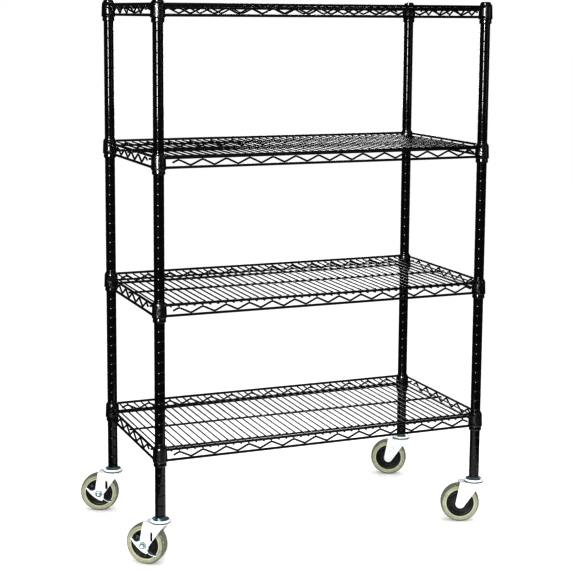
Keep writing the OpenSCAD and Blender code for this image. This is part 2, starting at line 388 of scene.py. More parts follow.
# ---------------------------------------------------------------------------------------------
# Materials
# ---------------------------------------------------------------------------------------------
class Surface:
    """A material's nodes, with its shader and its object coordinates."""

    def __init__(self, name, **constants):
        self.material = bpy.data.materials.new(name)
        self.material.use_nodes = True
        self.tree = self.material.node_tree
        self.shader = self.tree.nodes["Principled BSDF"]
        self.place = self.tree.nodes.new("ShaderNodeTexCoord").outputs["Object"]
        for key, value in constants.items():
            self.shader.inputs[key.replace("_", " ")].default_value = value

    def link(self, source, socket):
        """Joins one node's output to another's input."""
        self.tree.links.new(source, socket)

    def noise(self, scale, detail=3.0, rough=0.55, stretch=(1, 1, 1), shift=0.0):
        """Cloudy noise; scale is about its number of clouds in a metre."""
        mapping = self.tree.nodes.new("ShaderNodeMapping")
        mapping.inputs["Scale"].default_value = stretch
        mapping.inputs["Location"].default_value = (shift, shift, shift)
        self.link(self.place, mapping.inputs["Vector"])
        node = self.tree.nodes.new("ShaderNodeTexNoise")
        node.inputs["Scale"].default_value = scale
        node.inputs["Detail"].default_value = detail
        node.inputs["Roughness"].default_value = rough
        self.link(mapping.outputs["Vector"], node.inputs["Vector"])
        return node.outputs["Fac"]

    def ramp(self, factor, *stops):
        """A colour band along the factor. Stops are (place, colour or grey level)."""
        node = self.tree.nodes.new("ShaderNodeValToRGB")
        self.link(factor, node.inputs["Fac"])
        band = node.color_ramp
        while len(band.elements) < len(stops):
            band.elements.new(0.5)
        for element, (at, colour) in zip(band.elements, stops):
            element.position = at
            value = colour if isinstance(colour, (list, tuple)) else (colour,) * 3
            element.color = (*value, 1)
        return node.outputs["Color"]

    def mix(self, factor, a, b):
        """Goes from a to b as the factor goes from 0 to 1."""
        node = self.tree.nodes.new("ShaderNodeMix")
        node.data_type = "RGBA"
        self.link(factor, node.inputs["Factor"])
        self.link(a, node.inputs["A"])
        self.link(b, node.inputs["B"])
        return node.outputs["Result"]

    def colour(self, source):
        self.link(source, self.shader.inputs["Base Color"])

    def roughness(self, source):
        self.link(source, self.shader.inputs["Roughness"])

    def bump(self, *layers):
        """Layers are (height, strength, distance), the coarsest first."""
        normal = None
        for height, strength, distance in layers:
            node = self.tree.nodes.new("ShaderNodeBump")
            node.inputs["Strength"].default_value = strength
            node.inputs["Distance"].default_value = distance
            self.link(height, node.inputs["Height"])
            if normal:
                self.link(normal, node.inputs["Normal"])
            normal = node.outputs["Normal"]
        self.link(normal, self.shader.inputs["Normal"])


def black_epoxy(name, lump, peel, low, high, sheen):
    """Glossy black epoxy coat with an orange peel skin, over a lumpy casting where asked."""
    s = Surface(name, Specular_IOR_Level=sheen, Coat_Weight=0.9, Coat_Roughness=0.06)
    deep, worn = (0.0025, 0.0025, 0.003), (0.0055, 0.0055, 0.006)
    s.colour(s.ramp(s.noise(35, 4), (0.35, deep), (0.70, worn)))
    s.roughness(s.ramp(s.noise(60, 5, shift=3.0), (0.30, low), (0.75, high)))
    layers = [(s.noise(420, 2, 0.5), peel, 0.0005), (s.noise(1500, 2, 0.5), peel * 0.4, 0.0002)]
    if lump:
        layers.insert(0, (s.noise(120, 3, 0.6, shift=1.0), lump, 0.0022))
    s.bump(*layers)
    return s.material


def black_plastic():
    """Satin moulded plastic with a fine spark-eroded grain."""
    s = Surface("black_plastic", Specular_IOR_Level=0.5, Coat_Weight=0.8, Coat_Roughness=0.12)
    s.colour(s.ramp(s.noise(90, 3), (0.30, (0.004, 0.004, 0.005)), (0.75, (0.009, 0.009, 0.010))))
    s.roughness(s.ramp(s.noise(220, 3), (0.30, 0.18), (0.75, 0.32)))
    s.bump((s.noise(1800, 2), 0.16, 0.0003))
    return s.material


def zinc(name, low, high, tint, metallic, stain):
    """Bright zinc plate: a cool white metal with soft clouds and fine draw lines."""
    s = Surface(name, Metallic=metallic, Specular_IOR_Level=0.7)
    clouds = s.noise(45, 4)
    dark = tuple(c * f for c, f in zip(tint, (0.95, 0.97, 0.975)))
    warm = tuple(c * f for c, f in zip(tint, (1.0, 0.995, 0.97)))
    plate_tone = s.ramp(clouds, (0.30, dark), (0.55, tint), (0.80, warm))
    stains = s.ramp(s.noise(260, 5, 0.7, shift=5.0), (0.66, 0.0), (0.86, 0.7))
    s.colour(s.mix(stains, plate_tone, s.ramp(clouds, (0.0, tuple(c * stain for c in tint)))))
    s.roughness(s.ramp(s.noise(140, 4, shift=2.0), (0.30, low), (0.75, high)))
    s.bump((s.noise(500, 3, stretch=(1, 1, 6)), 0.10, 0.0002), (s.noise(2500, 2), 0.05, 0.0001))
    return s.material


def tread_side(name, tone):
    """Khaki rubber side wall, with scuffs and darker dust in patches. A tone above 1 makes a lighter
    copy, used as the bead's painted highlight.
    """
    s = Surface(name, Specular_IOR_Level=0.35)
    dark = tuple(c * tone for c in (0.35, 0.36, 0.255))
    light = tuple(c * tone for c in (0.47, 0.475, 0.345))
    dusty = tuple(c * 0.72 for c in dark)
    base = s.ramp(s.noise(70, 4), (0.25, dark), (0.75, light))
    dust = s.ramp(s.noise(160, 6, 0.7, shift=4.0), (0.54, 0.0), (0.76, 0.8))
    s.colour(s.mix(dust, base, s.ramp(s.noise(30), (0.0, dusty))))
    s.roughness(s.ramp(s.noise(300, 4), (0.30, 0.48), (0.75, 0.72)))
    s.bump((s.noise(300, 4), 0.20, 0.0004), (s.noise(1600, 2), 0.18, 0.0002))
    return s.material


def tread_run_dirt_and_shade():
    """The tread's running face: the same rubber, darker, partly with floor dirt and partly as painted
    shade of a face turned away from the light.
    """
    s = Surface("tread_run_dirt_and_shade", Specular_IOR_Level=0.15)
    base = s.ramp(s.noise(80, 4), (0.25, (0.15, 0.153, 0.110)), (0.75, (0.23, 0.235, 0.170)))
    marks = s.ramp(s.noise(220, 6, 0.75, shift=7.0), (0.50, 0.0), (0.72, 0.9))
    s.colour(s.mix(marks, base, s.ramp(s.noise(30), (0.0, (0.09, 0.092, 0.068)))))
    s.roughness(s.ramp(s.noise(320, 4), (0.30, 0.55), (0.75, 0.80)))
    s.bump((s.noise(260, 5), 0.12, 0.0004), (s.noise(1400, 3), 0.10, 0.0002))
    return s.material


def hub_plastic():
    """Dark moulded hub with a faint swirl of flow marks and dust."""
    s = Surface("hub_plastic", Specular_IOR_Level=0.4)
    base = s.ramp(s.noise(60, 4), (0.30, (0.016, 0.015, 0.016)), (0.75, (0.027, 0.025, 0.027)))
    dust = s.ramp(s.noise(240, 6, 0.7, shift=2.0), (0.58, 0.0), (0.82, 1.0))
    s.colour(s.mix(dust, base, s.ramp(s.noise(20), (0.0, (0.035, 0.032, 0.035)))))
    s.roughness(s.ramp(s.noise(180, 4), (0.30, 0.30), (0.75, 0.50)))
    s.bump((s.noise(900, 3), 0.14, 0.0003))
    return s.material


EPOXY = black_epoxy("black_epoxy", lump=0.0, peel=0.14, low=0.20, high=0.36, sheen=0.1)
CAST = black_epoxy("black_epoxy_cast", lump=0.75, peel=0.4, low=0.24, high=0.42, sheen=0.7)
PLASTIC = black_plastic()
ZINC = zinc("zinc_plate", low=0.22, high=0.40, tint=(0.94, 0.965, 0.97), metallic=0.08, stain=0.9)
# A dark teal copy of the zinc: painted shade and painted reflection of dark surroundings, on the race's
# dish and hex nut, the braked casters' axle nuts and the brake lips.
SHADED_ZINC = zinc("zinc_painted_shade", low=0.16, high=0.30, tint=(0.30, 0.42, 0.44), metallic=0.7, stain=0.7)
# Nearly black steel: painted shade on the race's skirt, the fork's low edges and the cam bolt, and the
# plain dark steel of the balls and spring washer.
STEEL_AND_SHADE = zinc("dark_steel_and_painted_shade", low=0.24, high=0.44, tint=(0.045, 0.075, 0.085), metallic=0.8, stain=0.7)
TREAD_SIDE = tread_side("tread_side", tone=1.0)
# A lighter copy of the side wall's rubber: painted highlight on the bead by the hub.
TREAD_BEAD_HIGHLIGHT = tread_side("tread_bead_painted_highlight", tone=1.45)
TREAD_RUN = tread_run_dirt_and_shade()
HUB = hub_plastic()


# ---------------------------------------------------------------------------------------------
# Posts and shelves
# ---------------------------------------------------------------------------------------------
def make_post(corner):
    """A tube with rolled grooves, each a shallow round valley between two soft shoulders."""
    low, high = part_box(f"post_{corner}")
    length = high.z - low.z
    edge = 0.4 * MM
    half_groove = [(2.3, 0.0), (2.0, 0.0), (1.25, -0.14), (0.55, -0.36)]
    groove = [(-along, depth) for along, depth in half_groove] + [(0.0, -0.44)] + half_groove[::-1]
    profile = [(POST_BORE_R, edge), (POST_BORE_R + 0.3 * MM, 0), (POST_R - edge, 0), (POST_R, edge)]
    count = math.ceil((length - LAST_GROOVE_GAP - FIRST_GROOVE) / GROOVE_PITCH)
    for i in range(count):
        z = FIRST_GROOVE + i * GROOVE_PITCH
        profile += [(POST_R + depth * MM, z + along * MM) for along, depth in groove]
    profile += [(POST_R, length - edge), (POST_R - edge, length), (POST_BORE_R, length)]
    shape = Shape().add(lathe(profile, 48, closed=True), on_post(corner, low.z))
    make_piece(f"post_tube_{corner}", shape, [EPOXY], "frame", [f"post_{corner}"])


def make_caps():
    """Push-in caps: a shallow dome over the tube's end, on a plug."""
    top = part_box("post_fl")[1].z
    plug_r = POST_BORE_R - 0.05 * MM
    dome = [(POST_R, 0), (POST_R, 1.0 * MM), (POST_R - 0.7 * MM, 2.0 * MM),
            (POST_R - 2.2 * MM, 2.6 * MM), (POST_R - 6 * MM, 3.0 * MM), (0, 3.2 * MM)]
    plug = [(0, -14 * MM), (plug_r - 0.55 * MM, -14 * MM), (plug_r, -11 * MM), (plug_r, 0)]
    cap = lathe(plug + fillet(dome, 0.6 * MM, False), 48)
    shape = Shape()
    for corner in CORNERS:
        shape.add(cap, on_post(corner, top))
    make_piece("caps", shape, [PLASTIC], "frame", ["post_caps"])


def make_collars(level):
    """Steel collars: a pressed cone with a rolled lip, and a weld bead where each rod meets it."""
    outer = [(COLLAR_LOW_R - 1.5 * MM, COLLAR_LOW), (COLLAR_LOW_R - 0.1 * MM, COLLAR_LOW + 1.8 * MM),
             (COLLAR_LOW_R - 0.5 * MM, COLLAR_LOW + 9 * MM), (COLLAR_TOP_R, COLLAR_HIGH - 6 * MM),
             (COLLAR_TOP_R - 0.9 * MM, COLLAR_HIGH - 2.5 * MM), (COLLAR_TOP_R - 2.2 * MM, COLLAR_HIGH)]
    inner = [(SLEEVE_TOP_R + 0.1 * MM, COLLAR_HIGH), (SLEEVE_LOW_R + 0.05 * MM, COLLAR_LOW)]
    collar = lathe(fillet(outer + inner, 1.2 * MM, True, 4), 56, closed=True)
    shape = Shape()
    base = sleeve_bottom(level)
    bead_along, bead_across, bead_up = 3.6 * MM, 2.5 * MM, 3.5 * MM
    bead_reach = 10.4 * MM
    beads = [(-bead_reach, RIM_OFFSET, blob((bead_along, bead_across, bead_up))),
             (RIM_OFFSET, -bead_reach, blob((bead_across, bead_along, bead_up)))]
    for corner in CORNERS:
        side_x, side_y = SIDES[corner]
        place = on_post(corner, base)
        shape.add(collar, place)
        for x, y, bead in beads:
            for z in (TOP_ROD_Z, LOW_ROD_Z):
                shape.add(bead, place @ Matrix.Translation((side_x * x, side_y * y, z)))
    make_piece(f"shelf_{level}_collar_set", shape, [CAST], "frame",
               [f"shelf_{level}_collars"])


def make_sleeves(level):
    """Split plastic wedges round the posts, with a rounded lip below the collar."""
    bore = POST_R + 0.02 * MM
    wedge = [(bore, 0), (POST_R + 1.7 * MM, 0), (POST_R + 3.0 * MM, 1.4 * MM),
             (POST_R + 3.3 * MM, 4.0 * MM), (POST_R + 2.7 * MM, 8.8 * MM),
             (SLEEVE_LOW_R - 0.1 * MM, COLLAR_LOW), (SLEEVE_TOP_R, SLEEVE_H), (bore, SLEEVE_H)]
    rounds = [r * MM for r in (0.2, 1.2, 1.5, 2.5, 1.5, 0, 0.4, 0.2)]
    profile = fillet(wedge, rounds, True, 4)
    gap = math.radians(4)
    base = sleeve_bottom(level)
    shape = Shape()
    for half in (0, 1):
        start = math.radians(45) + math.pi * half + gap
        wedge_half = lathe(profile, 28, start, math.pi - 2 * gap, True)
        for corner in CORNERS:
            shape.add(wedge_half, on_post(corner, base))
    make_piece(f"shelf_{level}_sleeve_set", shape, [PLASTIC], "frame",
               [f"shelf_{level}_sleeves"])


def rim_line(along_x, side, z, reach):
    """The two ends of a straight run along one rim."""
    if along_x:
        return [(-reach, side * RIM_Y, z), (reach, side * RIM_Y, z)]
    return [(side * RIM_X, -reach, z), (side * RIM_X, reach, z)]


def make_rim_rods(level):
    """The straight rods along the four rims, which run into the collars' walls."""
    base = sleeve_bottom(level)
    shape = Shape()
    for along_x in (True, False):
        reach = (SPAN_X if along_x else SPAN_Y) / 2 - ROD_END_GAP
        for side in (-1, 1):
            for z in (LOW_ROD_Z, TOP_ROD_Z):
                line = rim_line(along_x, side, base + z, reach)
                shape.add(tube(line, ROD_R, (0, 0, 1), 20))
    make_piece(f"shelf_{level}_rods", shape, [EPOXY], "frame",
               [f"shelf_{level}_rim_rods"])


def wave(turn):
    """A wave between -1 and 1 with nearly straight sides and rounded peaks."""
    sharpness = 0.975
    return math.asin(sharpness * math.cos(turn)) / math.asin(sharpness)


def make_snake_wires(level):
    """The bent wires in the rims, which end a quarter wave beyond their outer peaks."""
    shape = Shape()
    per_wave = 16
    for along_x, peaks, peak_z in ((True, LONG_PEAKS, LONG_PEAK_Z), (False, SHORT_PEAKS, SHORT_PEAK_Z)):
        middle = sleeve_bottom(level) + (peak_z + VALLEY_Z) / 2
        half = (peak_z - VALLEY_Z) / 2
        first = -(peaks - 1) * WAVE_PITCH / 2
        start = first - WAVE_PITCH / 4
        steps = (peaks - 1) * per_wave + per_wave // 2
        places = [start + i * WAVE_PITCH / per_wave for i in range(steps + 1)]
        heights = [middle + half * wave(2 * math.pi * (s - first) / WAVE_PITCH) for s in places]
        for side in (-1, 1):
            if along_x:
                path = [(s, side * RIM_Y, z) for s, z in zip(places, heights)]
            else:
                path = [(side * RIM_X, s, z) for s, z in zip(places, heights)]
            shape.add(tube(path, SNAKE_R, (0, 1, 0) if along_x else (1, 0, 0), 12))
    make_piece(f"shelf_{level}_snakes", shape, [EPOXY], "frame",
               [f"shelf_{level}_snake_wires"])


def cross_wires():
    """Each load wire's place along the shelf, its reach to front and back, and its kind.

    The outermost wires end in the collars' walls, and the others lie on the front and back rods.
    """
    half = math.floor((SPAN_X / 2 - 2 * CROSS_R) / CROSS_PITCH + 0.5)
    wires = []
    for k in range(-half, half):
        x = (k + 0.5) * CROSS_PITCH
        off = SPAN_X / 2 - abs(x)
        meets_collar = off < COLLAR_TOP_R
        reach = RIM_Y + WIRE_OVERHANG
        if meets_collar:
            reach = SPAN_Y / 2 - math.sqrt((COLLAR_TOP_R - 0.6 * MM) ** 2 - off ** 2)
        wires.append((x, reach, meets_collar))
    return wires


def make_deck(level):
    """Load wires laid on three stringers, with a small weld wherever two wires cross."""
    base = sleeve_bottom(level)
    rows = (-STRINGER_Y, 0, STRINGER_Y)
    wires = Shape()
    weld = blob((2.1 * MM, 2.1 * MM, 0.9 * MM), 8, 4)
    z = base + CROSS_Z
    for x, reach, meets_collar in cross_wires():
        wires.add(tube([(x, -reach, z), (x, reach, z)], CROSS_R, (0, 0, 1), 12))
        welds = [(y, z - CROSS_R) for y in rows]
        if not meets_collar:
            welds += [(y, z + CROSS_R) for y in (-RIM_Y, RIM_Y)]
        for weld_y, weld_z in welds:
            wires.add(weld, Matrix.Translation((x, weld_y, weld_z)))
    make_piece(f"shelf_{level}_load_wires", wires, [EPOXY], "frame",
               [f"shelf_{level}_cross_wires"])
    stringers = Shape()
    z = base + STRINGER_Z
    reach = RIM_X + WIRE_OVERHANG
    for y in rows:
        stringers.add(tube([(-reach, y, z), (reach, y, z)], STRINGER_R, (0, 0, 1), 16))
    make_piece(f"shelf_{level}_stringer_set", stringers, [EPOXY], "frame",
               [f"shelf_{level}_stringers"])


# ---------------------------------------------------------------------------------------------
# Casters
# ---------------------------------------------------------------------------------------------
def caster_frame(corner):
    """Places a caster's own frame: +X forwards, the axle along Y, Z up from the floor."""
    roll = next(j for j in frame["joints"] if j["name"] == f"wheel_{corner}_roll")
    turn = math.atan2(-roll["axis"][0], roll["axis"][1])
    return on_post(corner) @ Matrix.Rotation(turn, 4, "Z")


def axle_frame(corner):
    """Places the axle's frame: +X forwards, +Y up and +Z out of the wheel's brake side."""
    axle = Matrix.Translation((-TRAIL, 0, WHEEL_R)) @ Matrix.Rotation(math.pi / 2, 4, "X")
    return caster_frame(corner) @ axle


def make_stem(corner):
    """The stem's hexagon, the dished upper race with its flared skirt, and the rivet below."""
    skirt_r = 26.4 * MM
    skirt_low = CROWN_HIGH + 2.2 * MM
    skirt_high = CROWN_HIGH + 3.5 * MM
    dish = RACE_HIGH - 2.0 * MM
    race = [(0, dish), (15 * MM, dish), (19.4 * MM, dish + 0.2 * MM), (21.6 * MM, RACE_HIGH + 0.2 * MM),
            (23.2 * MM, RACE_HIGH), (24.2 * MM, RACE_LOW - 0.4 * MM), (skirt_r, skirt_high),
            (skirt_r, skirt_low), (skirt_r - 1.4 * MM, skirt_low), (21.4 * MM, RACE_LOW), (0, RACE_LOW)]
    place = caster_frame(corner)
    shape = Shape().add(lathe(fillet(race, 0.8 * MM, False, 4), 64), place)
    # Painted shade: the dish's floor inside this radius takes the dark teal zinc, and the skirt below
    # the lip the nearly black steel.
    shaded_dish_r = 20.6 * MM
    for i, face in enumerate(shape.faces):
        centre = sum((shape.verts[k] for k in face), Vector()) / len(face)
        if (centre.xy - place.translation.xy).length < shaded_dish_r:
            shape.slots[i] = 1
        elif centre.z < skirt_high + 0.1 * MM:
            shape.slots[i] = 2
    head_r, shank_r = 9 * MM, 5.5 * MM
    head_low, head_high = CROWN_LOW - 4 * MM, CROWN_LOW - 0.1 * MM
    shank_top = RACE_LOW + 1 * MM
    rivet = [(0, head_low), (6.5 * MM, head_low), (head_r, head_low + 2 * MM), (head_r, head_high),
             (shank_r, head_high), (shank_r, shank_top), (0, shank_top)]
    shape.add(lathe(fillet(rivet, 0.7 * MM, False, 3), 40), place)
    # The hex nut takes the dark teal zinc as painted shade and painted reflection.
    nut = fillet(hexagon(22.3 * MM, math.radians(20)), 0.8 * MM, True, 2)
    shape.add(plate(nut, dish - 0.2 * MM, POST_BOTTOM - 0.05 * MM, 0.5 * MM), place, 1)
    stem_r, stem_low, stem_top = 11.2 * MM, POST_BOTTOM - 1 * MM, POST_BOTTOM + 55 * MM
    chamfer = 3 * MM
    stem = [(0, stem_low), (stem_r, stem_low), (stem_r, stem_top - chamfer),
            (stem_r - chamfer, stem_top), (0, stem_top)]
    shape.add(lathe(stem, 32), place)
    make_piece(f"caster_{corner}_race", shape, [ZINC, SHADED_ZINC, STEEL_AND_SHADE], "frame",
               [f"caster_{corner}_stem"])


def leg_edges(z):
    """The leg's rear and front edges at a height about the axle.

    The round end runs into a rear edge that leans forwards and a straight front edge, which
    curves out under the crown from the height of the shoulder.
    """
    foot_z, foot_x = -7.7 * MM, 10.2 * MM
    shoulder_z, shoulder_x = 34 * MM, 39 * MM
    pull_x, top_x = 47 * MM, 57 * MM
    lean = 10.8 * MM
    round_end = math.sqrt(max(0, LEG_END_R ** 2 - z * z))
    rear = -round_end if z < 0 else lean * z / LEG_TOP - LEG_END_R
    if z < foot_z:
        return rear, round_end
    if z < shoulder_z:
        return rear, foot_x + (shoulder_x - foot_x) * (z - foot_z) / (shoulder_z - foot_z)
    t = (z - shoulder_z) / (LEG_TOP - shoulder_z)
    return rear, shoulder_x * (1 - t) ** 2 + pull_x * 2 * t * (1 - t) + top_x * t * t


def leg_station(side, z, around=0.0):
    """The leg's section at a height about the axle, turned by an angle where it bends inwards."""
    inwards = LEG_BEND * (1 - math.cos(around))
    rear, front = leg_edges(min(z, LEG_TOP))
    middle = (side * (LEG_MIDDLE - inwards), WHEEL_R + z)
    normal = (side * math.cos(around), math.sin(around))
    return middle, normal, rear - TRAIL, front - TRAIL


def fork_leg(side):
    """The sections of one leg, from its foot to the end of its bend."""
    crown = (CROWN_LOW + CROWN_HIGH) / 2 - WHEEL_R
    heights = [-LEG_END_R * math.cos(math.radians(a)) for a in (12, 24, 36, 48, 60, 70, 80)]
    heights += [z * MM for z in (0, 4, 9, 14, 19, 24, 29, 34, 38, 42, 46)]
    heights.append(crown - LEG_BEND)
    stations = [leg_station(side, z) for z in heights]
    for quarter in range(1, 5):
        around = math.pi / 2 * quarter / 4
        stations.append(leg_station(side, crown - LEG_BEND + LEG_BEND * math.sin(around), around))
    return stations


def fork_bridge():
    """The sections of the flat crown between the legs, which bulges forwards round the post."""
    bulge_r = 24.6 * MM
    crown_z = (CROWN_LOW + CROWN_HIGH) / 2
    stations = []
    for i in range(1, 8):
        y = (LEG_MIDDLE - LEG_BEND) * (i / 4 - 1)
        bulge = math.sqrt(bulge_r ** 2 - y * y)
        stations.append(((y, crown_z), (0, 1), FORK_REAR, max(FORK_FRONT, bulge)))
    return stations


def make_fork(corner):
    """A fork pressed from sheet: two legs bent down from a crown, with the lower race on it."""
    place = caster_frame(corner)
    stations = fork_leg(-1) + fork_bridge() + fork_leg(1)[::-1]
    shape = Shape().add(strip(stations, SHEET, 0.5 * MM), place)
    # Painted shade: the legs' high edges below the crown take the nearly black steel.
    painted_shade_below = CROWN_LOW - 6 * MM
    for i, face in enumerate(shape.faces):
        low_enough = all(shape.verts[k].z < painted_shade_below for k in face)
        if i % STRIP_SIDES in STRIP_HIGH_EDGE and low_enough:
            shape.slots[i] = 1
    edge = 0.5 * MM
    bore = 6 * MM
    race = [(bore, CROWN_LOW), (FORK_RACE_R - edge, CROWN_LOW), (FORK_RACE_R, CROWN_LOW + edge),
            (FORK_RACE_R, CROWN_HIGH - edge), (FORK_RACE_R - edge, CROWN_HIGH), (bore, CROWN_HIGH)]
    shape.add(lathe(race, 64, closed=True), place)
    obj = make_piece(f"caster_{corner}_fork_sheet", shape, [ZINC, STEEL_AND_SHADE], f"swivel_{corner}",
                     [f"caster_{corner}_fork"], sharp=35)
    if corner in BRAKED:
        rear, front, low, high = 17.8, 23.8, 12, 36
        slot = fillet([(rear, low), (front, low), (front, high), (rear, high)], 2.8, True, 4)
        cutter = plate([p * MM for p in slot], LEG_OUT - 6 * MM, LEG_OUT + 3 * MM, 0.05 * MM)
        cut(obj, cutter, axle_frame(corner))


def make_axle(corner):
    """The axle bolt with its chamfered head, washer faces and nut."""
    nut_in = LEVER_OUT + 1.5 * MM if corner in BRAKED else LEG_OUT
    # The braked casters' axle nuts take the dark teal zinc as painted shade; the others stay bright.
    nut_shade_slot = 1 if corner in BRAKED else 0
    place = axle_frame(corner)
    outline = fillet(hexagon(13 * MM), 0.5 * MM, True, 2)
    shape = Shape()
    shape.add(plate(outline, nut_in + 0.4 * MM, nut_in + 6.5 * MM, 0.7 * MM), place, nut_shade_slot)
    shape.add(plate(outline, -LEG_OUT - 5.3 * MM, -LEG_OUT - 0.4 * MM, 0.7 * MM), place)
    start, end = -LEG_OUT - 1 * MM, nut_in + 7.5 * MM
    bolt = [(0, start), (AXLE_R, start), (AXLE_R, end - 0.6 * MM), (AXLE_R - 0.7 * MM, end), (0, end)]
    shape.add(lathe(bolt, 32), place)
    for low in (-LEG_OUT - 0.6 * MM, nut_in - 0.02 * MM):
        high = low + 0.6 * MM
        face_r = 8 * MM
        ring = [(AXLE_R, low), (face_r, low), (face_r + 0.2 * MM, (low + high) / 2), (face_r, high),
                (AXLE_R, high)]
        shape.add(lathe(ring, 40, closed=True), place)
    make_piece(f"caster_{corner}_bolt", shape, [ZINC, SHADED_ZINC], f"swivel_{corner}",
               [f"caster_{corner}_axle"], sharp=30)


def mirrored(profile):
    """The same profile on the other side of the wheel's middle."""
    return [Vector((p.x, -p.y)) for p in profile]


def make_hub(corner):
    """A dished hub: a boss at the axle, a flat web, a ring ridge and a rim."""
    boss = [(4.06, 18.2), (9.4, 18.2), (10.2, 17.4), (11.2, 12.2)]
    web = [(13.5, 11.2), (23.5, 10.4), (26.0, 10.8)]
    ridge = [(27.4, 12.9), (28.4, 12.9), (29.8, 10.6)]
    rim = [(33.6, 11.6), (34.8, 13.6), (36.0, 13.6)]
    half = fillet([(r * MM, z * MM) for r, z in boss + web + ridge + rim], 0.9 * MM, False, 3)
    profile = mirrored(half) + half[::-1]
    shape = Shape().add(lathe(profile, 96, closed=True), axle_frame(corner))
    make_piece(f"caster_{corner}_hub_disc", shape, [HUB], f"wheel_{corner}",
               [f"caster_{corner}_hub"])


def make_tread(corner):
    """The tyre: a raised bead by the hub, a swelled side wall, a bevel and a crowned face."""
    bead_side = [(36.0, 12.6), (36.2, 15.0), (37.2, 15.9), (38.6, 15.7)]
    wall_side = [(39.6, 15.0), (41.0, 15.3), (43.6, 15.9), (45.6, 15.7), (46.6, 15.0)]
    face = [(48.6, 13.0), (49.9, 10.6), (50.35, 8.0), (50.7, 4.5)]
    side = fillet([(r * MM, z * MM) for r, z in bead_side + wall_side], 0.7 * MM, False, 3)
    bead_end_r = 39.3 * MM
    bead = [p for p in side if p.x < bead_end_r]
    wall = side[len(bead) - 1:]
    half_face = side[-1:] + [Vector((r * MM, z * MM)) for r, z in face]
    place = axle_frame(corner)
    shape = Shape()
    # The darker running-face rubber reaches over the outer bevel as painted shade.
    run = half_face + [Vector((WHEEL_R, 0))] + mirrored(half_face)[::-1]
    shape.add(lathe(run, 96), place, 1)
    # The bead takes the lighter copy of the rubber as a painted highlight.
    for band, slot in ((bead, 2), (wall, 0)):
        shape.add(lathe(band, 96), place, slot)
        shape.add(lathe(mirrored(band), 96), place, slot)
    bore = mirrored(side[:1]) + side[:1]
    shape.add(lathe(bore, 96), place)
    obj = make_piece(f"caster_{corner}_tyre", shape, [TREAD_SIDE, TREAD_RUN, TREAD_BEAD_HIGHLIGHT],
                     f"wheel_{corner}", [f"caster_{corner}_tread"])
    face_outwards(obj.data, weld=0.001 * MM)


# ---------------------------------------------------------------------------------------------
# Brakes
# ---------------------------------------------------------------------------------------------
def lever_lip():
    """The foot lip: a strip that stands out from the lever's front edge and widens downwards."""
    line = [p * MM for p in curve((10.6, -5.5), (14.5, -19), (37.4, -19), 14)]
    narrow, wide = 3 * MM, 12 * MM
    widening = 8
    stations = []
    for i, middle in enumerate(line):
        along = (line[min(i + 1, len(line) - 1)] - line[max(i - 1, 0)]).normalized()
        growth = math.sin(math.pi / 2 * min(1, i / widening))
        out = LEVER_IN + narrow + (wide - narrow) * growth
        stations.append((middle, (-along.y, along.x), LEVER_IN + 0.2 * MM, out))
    verts, faces = strip(stations, 2.0 * MM, 0.5 * MM)
    return [(v.y, v.z, v.x) for v in verts], faces


def make_lever(corner):
    """The crescent lever on the axle bolt, with its foot lip and the seat of the cam bolt."""
    place = axle_frame(corner)
    outline = curve((-34.5, 14.5), (-18, -11.5), (6.4, -20.5), 12)
    outline += curve((9, -20.3), (11.5, -18), (13, -15.5), 4)
    outline += curve((14, -6), (13, 5), (5, 11), 8)
    outline += curve((-4, 11.5), (-16, 8), (-26, 12), 8)
    outline += curve((-29, 14), (-32, 16), (-34, 16), 3)
    shape = Shape()
    shape.add(plate([p * MM for p in outline], LEVER_IN, LEVER_OUT, 0.5 * MM), place)
    # The lip's outer face takes the dark teal zinc as painted shade.
    first = len(shape.slots)
    shape.add(lever_lip(), place)
    end_faces = 2
    for i in range(first + STRIP_OUTER_FACE, len(shape.slots) - end_faces, STRIP_SIDES):
        shape.slots[i] = 1
    seat_r, seat_low, seat_high = 7.6 * MM, LEVER_IN + 1 * MM, LEVER_OUT + 0.8 * MM
    seat = [(0, seat_low), (seat_r, seat_low), (seat_r + 0.3 * MM, LEVER_OUT), (seat_r, seat_high),
            (0, seat_high)]
    shape.add(lathe(fillet(seat, 0.4 * MM, False, 3), 40), place @ CAM_PLACE)
    make_piece(f"brake_{corner}_pedal", shape, [ZINC, SHADED_ZINC], f"brake_{corner}",
               [f"brake_{corner}_lever"], sharp=35)


def make_cam(corner):
    """The cam bolt: a flanged round head outside the lever and a pin towards the hub."""
    place = axle_frame(corner) @ CAM_PLACE
    dome = [(0, 0.6), (8.4, 0.6), (8.6, 1.6), (6.6, 2.2), (5.2, 1.7), (4.6, 2.6), (3.0, 3.3), (0, 3.5)]
    head = [(r * MM, LEVER_OUT + z * MM) for r, z in dome]
    shape = Shape().add(lathe(fillet(head, 0.5 * MM, False, 3), 40), place)
    pin_r, pin_in, pin_out = 4 * MM, 14.7 * MM, LEVER_IN + 0.5 * MM
    pin = [(0, pin_in), (pin_r - 0.4 * MM, pin_in), (pin_r, pin_in + 0.5 * MM), (pin_r, pin_out),
           (0, pin_out)]
    shape.add(lathe(fillet(pin, 0.3 * MM, False, 2), 32), place)
    # The cam bolt takes the nearly black steel as painted shade.
    make_piece(f"brake_{corner}_cam", shape, [STEEL_AND_SHADE], f"brake_{corner}",
               [f"brake_{corner}_pad"])


def make_washer(corner):
    """The dished spring washer between the lever and the axle nut."""
    low = LEVER_OUT + 0.3 * MM
    rim_r = 9 * MM
    ring = [(AXLE_R, low + 0.5 * MM), (rim_r, low), (rim_r, low + 0.5 * MM), (AXLE_R, low + 1.1 * MM)]
    washer = lathe(fillet(ring, 0.15 * MM, True, 2), 48, closed=True)
    shape = Shape().add(washer, axle_frame(corner))
    make_piece(f"brake_{corner}_spring", shape, [STEEL_AND_SHADE], f"swivel_{corner}",
               [f"brake_{corner}_washer"])


